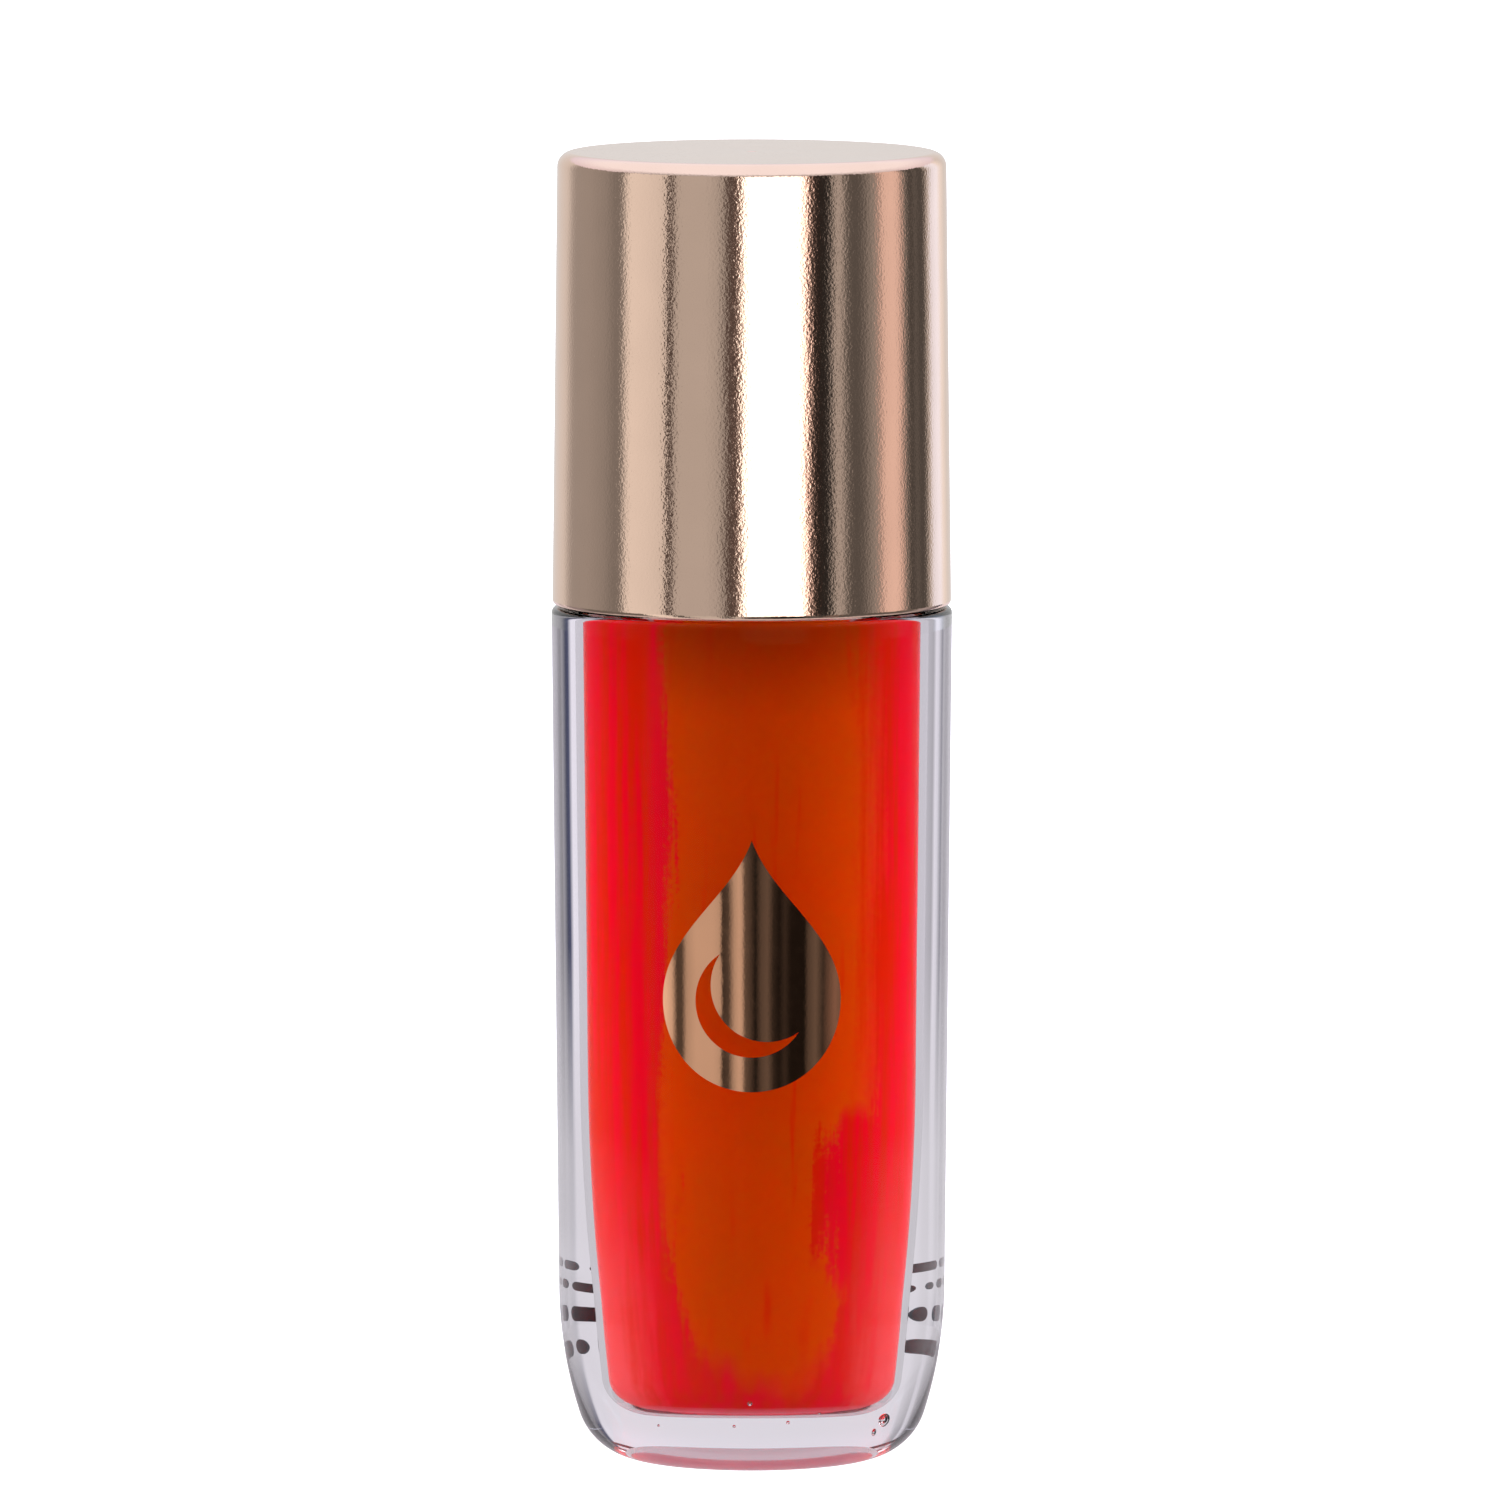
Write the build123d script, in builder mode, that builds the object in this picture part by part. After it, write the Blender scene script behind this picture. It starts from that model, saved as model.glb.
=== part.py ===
"""Lip gloss tube: thick-walled clear bottle, plated screw cap, wiper, wand and gloss.

Frame: millimetres, +Z up, origin at the centre of the base, front of the bottle faces -Y.
"""
from build123d import *
from math import atan2, cos, degrees, pi, radians, sin, sqrt, tan
import os

# ---- Driving dimensions -------------------------------------------------------------------
total_height = 72.0

# Bottle outside: a slight taper, then a large heel arc and a tighter corner into the base
shoulder_height = 47.0
shoulder_radius = 11.0
shoulder_edge_radius = 0.33
heel_height = 9.5
heel_start_radius = 10.62
heel_arc_radius = 24.0
heel_end_angle = 17.5
recess_radius = 5.0
recess_depth = 0.3
recess_wall_angle = 45.0

# Bore: drafted from the neck, drawn in towards the floor and rounded into it
bore_top_radius = 6.15
bore_knee_height = 21.0
bore_knee_radius = 5.97
draw_in_radius = 187.0
draw_in_angle = 4.88
floor_height = 3.6

# Neck and screw thread
neck_height = 10.5
neck_radius = 7.1
neck_root_fillet = 0.4
neck_edge_radius = 0.2
thread_pitch = 2.5
thread_turns = 1.6
thread_depth = 0.5
thread_root_width = 1.3
thread_crest_width = 0.5
thread_start = 3.2
thread_crest_clearance = 0.05
ridge_sink = 0.15

# Cap shell
cap_gap = 0.12
cap_bottom_radius = 10.95
cap_top_radius = 10.66
cap_top_edge_radius = 0.8
cap_bottom_edge_radius = 0.3
cap_bore_radius = 9.6
cap_roof = 1.3
cap_lead_in = 0.35

# Inner cap
skirt_setback = 0.5
skirt_radius = 9.1
skirt_radial_play = 0.2
inner_roof = 1.5
grip_rib_count = 24
grip_rib_width = 0.7
grip_rib_setback = 1.0
socket_radius = 3.4
socket_drop = 2.6
riser_radius = 5.2
riser_wall = 1.2
riser_fin_count = 4
riser_fin_width = 1.1
riser_fin_setback = 1.5

# Gasket
gasket_thickness = 1.0
gasket_bore_radius = 3.7
seat_gap = 0.05

# Wiper
wiper_flange_thickness = 0.8
wiper_flange_radius = 7.0
wiper_length = 9.2
wiper_wall = 0.9
wiper_body_clearance = 0.03
wiper_cone_height = 2.6
wiper_orifice_radius = 2.5
wiper_lip_height = 0.5
wiper_flange_fillet = 0.25
wiper_shoulder_fillet = 0.6

# Wand
stem_radius = 2.2
stem_top_height = 66.5
stem_bottom_height = 19.0
stem_end_radius = 1.9
stem_end_taper = 1.6
stem_top_chamfer = 0.4
pin_radius = 1.1
pin_length = 4.5
pin_clearance = 0.02
tip_height = 5.0
tip_rise = 1.2
tip_width = 1.5
belly_height = 12.5
flock_radius = 2.35
flock_neck_radius = 1.9
flock_thickness = 0.35
foot_angle = 14.0
foot_depth = 2.6

# Gloss
gloss_level = 47.6
gloss_wall_gap = 0.01
channel_radius = 2.55
channel_floor = 4.6

# Foil emblem and ink dashes, thin skins laid on the bottle
skin_gap = 0.01
skin_thickness = 0.04
emblem_centre_height = 28.3
emblem_height = 13.8
emblem_width = 10.0
emblem_bowl_start = 155.0
emblem_point_slope = 0.35
emblem_band_margin = 1.0
glint_radius = 3.1
glint_shift = 0.85
ink_height = 0.5
ink_row_pitch = 1.1
ink_dash_gap = 0.35
ink_bottom_height = 6.2
ink_rows = (
    (1.1, 0.5, 1.9, 0.8),
    (0.6, 1.5, 0.9, 0.5, 1.3),
    (1.8, 0.7, 0.4, 1.2),
    (0.5, 1.0, 1.6),
)

os.makedirs("parts", exist_ok=True)

# ---- Derived dimensions -------------------------------------------------------------------
side_angle = degrees(atan2(shoulder_radius - heel_start_radius, shoulder_height - heel_height))
heel_centre_height = heel_height + heel_arc_radius * sin(radians(side_angle))
heel_end_height = heel_centre_height - heel_arc_radius * sin(radians(heel_end_angle))
base_corner_radius = heel_end_height / (1 - sin(radians(heel_end_angle)))
neck_top = shoulder_height + neck_height
thread_crest_radius = neck_radius + thread_depth
skirt_bore_radius = thread_crest_radius + thread_crest_clearance + thread_depth
gasket_radius = skirt_bore_radius - skirt_radial_play
flange_top = neck_top + wiper_flange_thickness
gasket_bottom = flange_top + seat_gap
gasket_top = gasket_bottom + gasket_thickness
inner_roof_bottom = gasket_top + seat_gap
inner_roof_top = inner_roof_bottom + inner_roof
socket_bottom = inner_roof_bottom - socket_drop
cap_bottom = shoulder_height + cap_gap
cap_ceiling = total_height - cap_roof
skirt_bottom = cap_bottom + skirt_setback
wiper_bottom = flange_top - wiper_length


def finish(piece, name):
    """Label one finished piece and write it to its own file."""
    piece.part.label = name
    export_step(piece.part, f"parts/{name}.step")


def outside_radius(height):
    """Outside radius of the bottle between the top of the base corner and the shoulder."""
    if height > heel_height:
        return heel_start_radius + (height - heel_height) * tan(radians(side_angle))
    heel_centre_radius = heel_start_radius - heel_arc_radius * cos(radians(side_angle))
    return heel_centre_radius + sqrt(heel_arc_radius**2 - (heel_centre_height - height) ** 2)


def bottle_side():
    """Outside of the bottle from the shoulder edge, round the heel, to the centre of the base."""
    side = Line((shoulder_radius, shoulder_height), (heel_start_radius, heel_height))
    heel = JernArc(side @ 1, side % 1, heel_arc_radius, -(heel_end_angle - side_angle))
    corner = JernArc(heel @ 1, heel % 1, base_corner_radius, -(90 - heel_end_angle))
    Line(corner @ 1, (0, 0))


def bore_side(inset, top):
    """Wall of the bore, moved in by inset, from the height top down to the centre of the floor."""
    upper = Polyline(
        (bore_top_radius - inset, top),
        (bore_top_radius - inset, shoulder_height),
        (bore_knee_radius - inset, bore_knee_height),
    )
    draw_in = JernArc(upper @ 1, upper % 1, draw_in_radius, -draw_in_angle)
    end_angle = degrees(atan2(-(draw_in % 1).X, -(draw_in % 1).Y))
    corner_radius = ((draw_in @ 1).Y - floor_height - inset) / (1 - sin(radians(end_angle)))
    corner = JernArc(draw_in @ 1, draw_in % 1, corner_radius, -(90 - end_angle))
    Line(corner @ 1, (0, floor_height + inset))


def thread_ridge(wall_radius, direction, start_height):
    """Helical ridge that stands out (+1) or in (-1) from a round wall."""
    with BuildLine() as path:
        Helix(thread_pitch, thread_pitch * thread_turns, wall_radius, center=(0, 0, start_height))
    across = Plane(origin=path.line @ 0, x_dir=(direction, 0, 0), z_dir=path.line % 0)
    with BuildSketch(across) as ridge:
        with BuildLine():
            Polyline(
                (-ridge_sink, -thread_root_width / 2),
                (thread_depth, -thread_crest_width / 2),
                (thread_depth, thread_crest_width / 2),
                (-ridge_sink, thread_root_width / 2),
                close=True,
            )
        make_face()
    sweep(ridge.sketch, path=path.line, is_frenet=True)


# ---- Bottle: clear, thick-walled, with the threaded neck ------------------------------------
with BuildPart() as bottle:
    with BuildSketch(Plane.XZ) as bottle_profile:
        with BuildLine():
            bottle_side()
            Polyline(
                (0, 0),
                (0, neck_top),
                (neck_radius, neck_top),
                (neck_radius, shoulder_height),
                (shoulder_radius, shoulder_height),
            )
        make_face()
        for corner, radius in (
            ((shoulder_radius, shoulder_height), shoulder_edge_radius),
            ((neck_radius, shoulder_height), neck_root_fillet),
            ((neck_radius, neck_top), neck_edge_radius),
        ):
            fillet(bottle_profile.vertices().sort_by_distance(corner)[0], radius)
    revolve(axis=Axis.Z)
    thread_ridge(neck_radius, 1, shoulder_height + thread_start)
    with BuildSketch(Plane.XZ):
        with BuildLine():
            bore_side(0, neck_top)
            Polyline((0, floor_height), (0, neck_top), (bore_top_radius, neck_top))
        make_face()
    revolve(axis=Axis.Z, mode=Mode.SUBTRACT)
    with BuildSketch(Plane.XY):
        Circle(recess_radius)
    extrude(amount=recess_depth, taper=recess_wall_angle, mode=Mode.SUBTRACT)
finish(bottle, "bottle")

# ---- Gloss: fills the bore, with the open channel that the wand stands in ----------------------
with BuildPart() as gloss:
    with BuildSketch(Plane.XZ):
        with BuildLine():
            bore_side(gloss_wall_gap, gloss_level)
            Polyline(
                (0, floor_height + gloss_wall_gap),
                (0, channel_floor),
                (channel_radius, channel_floor),
                (channel_radius, gloss_level),
                (bore_top_radius - gloss_wall_gap, gloss_level),
            )
        make_face()
    revolve(axis=Axis.Z)
finish(gloss, "gloss")

# ---- Wiper: soft plug that seals the neck and wipes the wand -------------------------------------
with BuildPart() as wiper:
    body_radius = bore_top_radius - wiper_body_clearance
    cone_top = wiper_bottom + wiper_lip_height + wiper_cone_height
    with BuildSketch(Plane.XZ) as wiper_profile:
        with BuildLine():
            Polyline(
                (body_radius - wiper_wall, flange_top),
                (wiper_flange_radius, flange_top),
                (wiper_flange_radius, neck_top),
                (body_radius, neck_top),
                (body_radius, cone_top),
                (wiper_orifice_radius + wiper_wall, wiper_bottom),
                (wiper_orifice_radius, wiper_bottom),
                (wiper_orifice_radius, wiper_bottom + wiper_lip_height),
                (body_radius - wiper_wall, cone_top + wiper_wall),
                close=True,
            )
        make_face()
        for corner, radius in (
            ((wiper_flange_radius, flange_top), wiper_flange_fillet),
            ((body_radius, cone_top), wiper_shoulder_fillet),
        ):
            fillet(wiper_profile.vertices().sort_by_distance(corner)[0], radius)
    revolve(axis=Axis.Z)
finish(wiper, "wiper")

# ---- Cap shell: plated, slightly tapered, with rounded edges ---------------------------------------
with BuildPart() as cap_shell:
    with BuildSketch(Plane.XZ) as shell_profile:
        with BuildLine():
            Polyline(
                (0, total_height),
                (cap_top_radius, total_height),
                (cap_bottom_radius, cap_bottom),
                (cap_bore_radius, cap_bottom),
                (cap_bore_radius, cap_ceiling),
                (0, cap_ceiling),
                close=True,
            )
        make_face()
        for corner, radius in (
            ((cap_top_radius, total_height), cap_top_edge_radius),
            ((cap_bottom_radius, cap_bottom), cap_bottom_edge_radius),
            ((cap_bore_radius, cap_ceiling), cap_lead_in),
        ):
            fillet(shell_profile.vertices().sort_by_distance(corner)[0], radius)
        chamfer(shell_profile.vertices().sort_by_distance((cap_bore_radius, cap_bottom))[0], cap_lead_in)
    revolve(axis=Axis.Z)
finish(cap_shell, "cap_shell")

# ---- Inner cap: threaded skirt, grip ribs, wand socket and the riser that meets the shell's roof -----
with BuildPart() as inner_cap:
    with BuildSketch(Plane.XZ):
        with BuildLine():
            Polyline(
                (stem_radius, socket_bottom),
                (socket_radius, socket_bottom),
                (socket_radius, inner_roof_bottom),
                (skirt_bore_radius, inner_roof_bottom),
                (skirt_bore_radius, skirt_bottom),
                (skirt_radius, skirt_bottom),
                (skirt_radius, inner_roof_top),
                (riser_radius, inner_roof_top),
                (riser_radius, cap_ceiling),
                (riser_radius - riser_wall, cap_ceiling),
                (riser_radius - riser_wall, inner_roof_top),
                (stem_radius, inner_roof_top),
                close=True,
            )
        make_face()
    revolve(axis=Axis.Z)
    thread_ridge(skirt_bore_radius, -1, shoulder_height + thread_start + thread_pitch / 2)
    with BuildSketch(Plane.XY.offset(skirt_bottom + grip_rib_setback)):
        with PolarLocations(skirt_radius, grip_rib_count):
            Rectangle(2 * (cap_bore_radius - skirt_radius), grip_rib_width)
        Circle(cap_bore_radius, mode=Mode.INTERSECT)
    extrude(amount=inner_roof_top - skirt_bottom - grip_rib_setback)
    with BuildSketch(Plane.XY.offset(inner_roof_top)):
        fin_root = riser_radius - riser_wall / 2
        with PolarLocations(fin_root, riser_fin_count, start_angle=45):
            Rectangle(skirt_radius - fin_root, riser_fin_width, align=(Align.MIN, Align.CENTER))
    extrude(amount=cap_ceiling - inner_roof_top - riser_fin_setback)
finish(inner_cap, "inner_cap")

# ---- Gasket: sealing washer in the roof of the inner cap ---------------------------------------------
with BuildPart() as cap_gasket:
    with BuildSketch(Plane.XY.offset(gasket_bottom)):
        Circle(gasket_radius)
        Circle(gasket_bore_radius, mode=Mode.SUBTRACT)
    extrude(amount=gasket_thickness)
finish(cap_gasket, "cap_gasket")

# ---- Wand stem: rod fixed in the inner cap, hollow at its lower end for the applicator's pin -----------
with BuildPart() as wand_stem:
    with BuildSketch(Plane.XZ) as stem_profile:
        with BuildLine():
            Polyline(
                (0, stem_top_height),
                (stem_radius, stem_top_height),
                (stem_radius, stem_bottom_height + stem_end_taper),
                (stem_end_radius, stem_bottom_height),
                (pin_radius + pin_clearance, stem_bottom_height),
                (pin_radius + pin_clearance, stem_bottom_height + pin_length + pin_clearance),
                (0, stem_bottom_height + pin_length + pin_clearance),
                close=True,
            )
        make_face()
        chamfer(stem_profile.vertices().sort_by_distance((stem_radius, stem_top_height))[0], stem_top_chamfer)
    revolve(axis=Axis.Z)
finish(wand_stem, "wand_stem")


def applicator_body(inset):
    """Rounded doe-foot body, moved in by inset, with its slanted face on the front."""
    top = stem_bottom_height - skin_gap
    widest = flock_radius - inset
    throat = flock_neck_radius - inset
    tip = tip_height + inset
    with BuildSketch(Plane.XZ) as outline:
        with BuildLine():
            Line((0, top), (throat, top))
            Spline((throat, top), (widest, belly_height), tangents=((0, -1), (0, -1)))
            Bezier((widest, belly_height), (widest, tip + tip_rise), (tip_width, tip), (0, tip))
            Line((0, tip), (0, top))
        make_face()
    revolve(outline.sketch, axis=Axis.Z)
    foot_face = Plane(
        origin=(0, -widest + foot_depth, tip),
        x_dir=(1, 0, 0),
        z_dir=(0, -cos(radians(foot_angle)), -sin(radians(foot_angle))),
    )
    split(bisect_by=foot_face, keep=Keep.BOTTOM)


# ---- Applicator: slanted core with its pin, and the flocked skin over it --------------------------------
with BuildPart() as applicator_core:
    applicator_body(flock_thickness)
    with BuildSketch(Plane.XY.offset(stem_bottom_height - 1)):
        Circle(pin_radius)
    extrude(amount=pin_length + 1)
finish(applicator_core, "applicator_core")

with BuildPart() as flock_hollow:
    applicator_body(flock_thickness)

with BuildPart() as applicator_flock:
    applicator_body(0)
    add(flock_hollow.part, mode=Mode.SUBTRACT)
finish(applicator_flock, "applicator_flock")


# ---- Emblem: a plain foil drop with a crescent glint cut out of it, wrapped on the bottle's front ------
with BuildPart() as front_emblem:
    with BuildSketch(Plane.XZ) as skin_profile:
        with BuildLine():
            bottle_side()
            Polyline((0, 0), (0, shoulder_height), (shoulder_radius, shoulder_height))
        make_face()
        half = skin_profile.sketch_local
        offset(half, amount=skin_gap + skin_thickness)
        offset(half, amount=skin_gap, mode=Mode.SUBTRACT)
        with Locations((0, heel_height)):
            Rectangle(
                2 * shoulder_radius,
                shoulder_height - heel_height - emblem_band_margin,
                align=(Align.MIN, Align.MIN),
                mode=Mode.INTERSECT,
            )
    revolve(axis=Axis.Z)
    with BuildSketch(Plane.XZ):
        with BuildLine():
            bowl_radius = emblem_width / 2
            bowl_centre = emblem_centre_height - emblem_height / 2 + bowl_radius
            point = (0, emblem_centre_height + emblem_height / 2)
            bowl_sweep = 540 - 2 * emblem_bowl_start
            bowl = CenterArc((0, bowl_centre), bowl_radius, emblem_bowl_start, bowl_sweep)
            Spline(bowl @ 1, point, tangents=(bowl % 1, (-emblem_point_slope, 1)))
            Spline(bowl @ 0, point, tangents=(-(bowl % 0), (emblem_point_slope, 1)))
        make_face()
        with Locations((0, bowl_centre)):
            Circle(glint_radius, mode=Mode.SUBTRACT)
        with Locations((glint_shift, bowl_centre + glint_shift)):
            Circle(glint_radius)
    extrude(amount=shoulder_radius + 1, mode=Mode.INTERSECT)
finish(front_emblem, "front_emblem")

# ---- Back print: rows of plain ink dashes low on the back -------------------------------------------------
with BuildPart() as back_print:
    for row, dashes in enumerate(ink_rows):
        low = ink_bottom_height + row * ink_row_pitch
        high = low + ink_height
        dash_start = -(sum(dashes) + ink_dash_gap * (len(dashes) - 1)) / 2
        for dash in dashes:
            ink_start = pi / 2 + dash_start / outside_radius(low)
            radial = Plane(
                origin=(0, 0, 0),
                x_dir=(cos(ink_start), sin(ink_start), 0),
                z_dir=(sin(ink_start), -cos(ink_start), 0),
            )
            with BuildSketch(radial):
                with BuildLine():
                    Polyline(
                        (outside_radius(low) + skin_gap, low),
                        (outside_radius(low) + skin_gap + skin_thickness, low),
                        (outside_radius(high) + skin_gap + skin_thickness, high),
                        (outside_radius(high) + skin_gap, high),
                        close=True,
                    )
                make_face()
            revolve(axis=Axis.Z, revolution_arc=degrees(dash / outside_radius(low)))
            dash_start += dash + ink_dash_gap
finish(back_print, "back_print")
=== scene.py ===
"""Looks of a lip gloss tube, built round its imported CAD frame.

Sizes and outlines are in mm, and become metres when a mesh is made. Heights inside materials,
the lamps and the camera are in metres.
"""
import math
import random

import bmesh
import bpy
from mathutils import Matrix, Vector
from mathutils.geometry import tessellate_polygon


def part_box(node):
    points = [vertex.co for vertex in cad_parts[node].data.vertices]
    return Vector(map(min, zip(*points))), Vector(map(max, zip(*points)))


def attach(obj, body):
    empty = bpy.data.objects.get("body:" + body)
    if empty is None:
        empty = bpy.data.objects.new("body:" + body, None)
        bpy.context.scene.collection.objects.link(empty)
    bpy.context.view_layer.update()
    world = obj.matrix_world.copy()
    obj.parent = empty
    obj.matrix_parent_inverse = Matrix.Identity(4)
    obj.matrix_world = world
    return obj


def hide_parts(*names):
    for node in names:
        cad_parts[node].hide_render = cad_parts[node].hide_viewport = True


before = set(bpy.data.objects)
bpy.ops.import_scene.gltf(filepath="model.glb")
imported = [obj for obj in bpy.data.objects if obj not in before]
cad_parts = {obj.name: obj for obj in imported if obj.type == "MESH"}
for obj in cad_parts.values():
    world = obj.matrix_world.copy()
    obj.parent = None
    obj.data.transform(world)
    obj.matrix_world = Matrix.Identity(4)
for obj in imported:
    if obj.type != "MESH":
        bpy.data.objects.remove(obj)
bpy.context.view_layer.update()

MM = 0.001
TINY = 1e-6

# ---- How finely meshes are made, mm and degrees ------------------------------------------------
SEGMENTS = 256
LINE_STEP = 0.1
LONG_LINE = 0.6
SUPPORT_GAP = 0.03
SLICE_WIDTH = 0.2
WELD_GAP = 1e-5
SHARP_ANGLE = 40

# ---- The same driving dimensions as the CAD ----------------------------------------------------
# Lengths are in mm, THREAD_TURNS and THREAD_RUN_OUT in turns.
TOTAL_HEIGHT = 72.0
SHOULDER_HEIGHT = 47.0
SHOULDER_RADIUS = 11.0
SHOULDER_EDGE = 0.33
HEEL_HEIGHT = 9.5
HEEL_START_RADIUS = 10.62
HEEL_ARC_RADIUS = 24.0
HEEL_END_ANGLE = math.radians(17.5)
RECESS_RADIUS = 5.0
RECESS_DEPTH = 0.3
RECESS_FILLET = 0.2
BORE_RADIUS = 6.15
KNEE_HEIGHT = 21.0
KNEE_RADIUS = 5.97
DRAW_IN_RADIUS = 187.0
DRAW_IN_ANGLE = math.radians(4.88)
FLOOR_HEIGHT = 3.6
NECK_TOP = 57.5
NECK_RADIUS = 7.1
NECK_FILLET = 0.4
NECK_EDGE = 0.2
THREAD_PITCH = 2.5
THREAD_TURNS = 1.6
THREAD_DEPTH = 0.5
THREAD_START = SHOULDER_HEIGHT + 3.2
THREAD_ROOT = 1.3
THREAD_CREST = 0.5
THREAD_RUN_OUT = 0.06
GLOSS_LEVEL = 47.6
GLOSS_OVERLAP = 0.02
CAP_BOTTOM = 47.12
CAP_BOTTOM_RADIUS = 10.95
CAP_TOP_RADIUS = 10.66
CAP_TOP_EDGE = 0.8
CAP_BOTTOM_EDGE = 0.3
CAP_MOUTH_EDGE = 0.05
CAP_BORE_RADIUS = 9.6
CAP_CEILING = 70.7
CAP_LEAD_IN = 0.35
# The drop's bowl is a circle that ends some degrees above its middle. Its sides lean at the tip.
EMBLEM_CENTRE = 28.3
EMBLEM_HEIGHT = 13.8
EMBLEM_WIDTH = 10.0
EMBLEM_BOWL_RISE = 25
EMBLEM_TIP_LEAN = 0.35
GLINT_RADIUS = 3.1
GLINT_SHIFT = 0.85
SKIN_GAP = 0.01
SKIN_THICKNESS = 0.04
# Bubbles in the clear base: x, y, z and radius.
BUBBLES = (
    (-4.2, -4.0, 2.9, 0.07), (-0.8, -5.0, 3.0, 0.08), (1.6, -4.5, 3.2, 0.09), (3.3, -6.4, 3.6, 0.07),
    (-0.1, -7.6, 4.2, 0.13), (6.1, -3.2, 3.0, 0.34), (5.7, -3.6, 2.5, 0.13),
)
# Rows of dashes from the lowest up, each dash by its length.
INK_BOTTOM = 6.2
INK_PITCH = 1.1
INK_HEIGHT = 0.5
INK_GAP = 0.35
INK_ROWS = ((1.1, 0.5, 1.9, 0.8), (0.6, 1.5, 0.9, 0.5, 1.3), (1.8, 0.7, 0.4, 1.2), (0.5, 1.0, 1.6))

# ---- Fibres of the flocked skin ----------------------------------------------------------------
# Lengths are in mm, and the lean is the spread of a fibre's direction about the skin's normal.
FIBRE_COUNT = 7000
FIBRE_LENGTH = (0.10, 0.17)
FIBRE_RADIUS = 0.018
FIBRE_ROOT = 0.03
FIBRE_LEAN = 0.35
APPLICATOR_MIDDLE = 0.4

# ---- Derived -----------------------------------------------------------------------------------
SIDE_ANGLE = math.atan2(SHOULDER_RADIUS - HEEL_START_RADIUS, SHOULDER_HEIGHT - HEEL_HEIGHT)
HEEL_CENTRE = (
    HEEL_START_RADIUS - HEEL_ARC_RADIUS * math.cos(SIDE_ANGLE),
    HEEL_HEIGHT + HEEL_ARC_RADIUS * math.sin(SIDE_ANGLE),
)


def arc(centre, radius, start, end, steps):
    """Points of an arc from one angle to another, both in radians."""
    points = []
    for step in range(steps + 1):
        angle = start + (end - start) * step / steps
        points.append((centre[0] + radius * math.cos(angle), centre[1] + radius * math.sin(angle)))
    return points


def rounded(corner, before, after, radius, steps=8):
    """Arc that rounds a corner of an outline between the points before and after it."""
    corner = Vector(corner)
    to_before = (Vector(before) - corner).normalized()
    to_after = (Vector(after) - corner).normalized()
    half = to_before.angle(to_after) / 2
    centre = corner + (to_before + to_after).normalized() * radius / math.sin(half)
    first = corner + to_before * radius / math.tan(half) - centre
    last = corner + to_after * radius / math.tan(half) - centre
    start = math.atan2(first.y, first.x)
    sweep = (math.atan2(last.y, last.x) - start + math.pi) % (2 * math.pi) - math.pi
    return arc(centre, radius, start, start + sweep, steps)


def outside_radius(height):
    """Outside radius of the bottle's wall above its base corner."""
    if height > HEEL_HEIGHT:
        return HEEL_START_RADIUS + (height - HEEL_HEIGHT) * math.tan(SIDE_ANGLE)
    return HEEL_CENTRE[0] + math.sqrt(HEEL_ARC_RADIUS**2 - (HEEL_CENTRE[1] - height) ** 2)


def bottle_outside():
    """Outline from the centre of the base, round the heel and up to the neck's opening."""
    heel_end = arc(HEEL_CENTRE, HEEL_ARC_RADIUS, -HEEL_END_ANGLE, -HEEL_END_ANGLE, 1)[0]
    corner_radius = heel_end[1] / (1 - math.sin(HEEL_END_ANGLE))
    corner_centre = (heel_end[0] - corner_radius * math.cos(HEEL_END_ANGLE), corner_radius)
    recess_top = (RECESS_RADIUS - RECESS_DEPTH, RECESS_DEPTH)
    points = [(0, RECESS_DEPTH), (RECESS_RADIUS * 0.5, RECESS_DEPTH)]
    points += rounded(recess_top, (0, RECESS_DEPTH), (RECESS_RADIUS, 0), RECESS_FILLET)
    points += rounded((RECESS_RADIUS, 0), recess_top, (RECESS_RADIUS + 1, 0), RECESS_FILLET)
    points += arc(corner_centre, corner_radius, -math.pi / 2, -HEEL_END_ANGLE, 28)
    points += arc(HEEL_CENTRE, HEEL_ARC_RADIUS, -HEEL_END_ANGLE, -SIDE_ANGLE, 20)[1:]
    edge = (SHOULDER_RADIUS, SHOULDER_HEIGHT)
    points += rounded(edge, points[-1], (0, SHOULDER_HEIGHT), SHOULDER_EDGE)
    root = (NECK_RADIUS, SHOULDER_HEIGHT)
    points += rounded(root, edge, (NECK_RADIUS, NECK_TOP), NECK_FILLET)
    height = SHOULDER_HEIGHT + 2 * NECK_FILLET
    while height < NECK_TOP - 2 * NECK_EDGE:
        points.append((NECK_RADIUS, height))
        height += LINE_STEP
    points += rounded((NECK_RADIUS, NECK_TOP), (NECK_RADIUS, 0), (0, NECK_TOP), NECK_EDGE)
    return points


def bore(grow, top):
    """Outline of the bore, grown by grow, from the height top down to the centre of the floor."""
    lean = math.atan2(BORE_RADIUS - KNEE_RADIUS, SHOULDER_HEIGHT - KNEE_HEIGHT)
    draw_centre = (
        KNEE_RADIUS - DRAW_IN_RADIUS * math.cos(lean),
        KNEE_HEIGHT + DRAW_IN_RADIUS * math.sin(lean),
    )
    end_angle = lean + DRAW_IN_ANGLE
    draw_in = arc(draw_centre, DRAW_IN_RADIUS, -lean, -end_angle, 24)
    corner_radius = (draw_in[-1][1] - FLOOR_HEIGHT) / (1 - math.sin(end_angle))
    corner_centre = (
        draw_in[-1][0] - corner_radius * math.cos(end_angle),
        FLOOR_HEIGHT + corner_radius,
    )
    wall = [(BORE_RADIUS, top), (BORE_RADIUS, SHOULDER_HEIGHT)] + draw_in
    points = [(radius + grow, height) for radius, height in wall]
    points += arc(corner_centre, corner_radius + grow, -end_angle, -math.pi / 2, 20)[1:]
    return points + [(0, FLOOR_HEIGHT - grow)]


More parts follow.
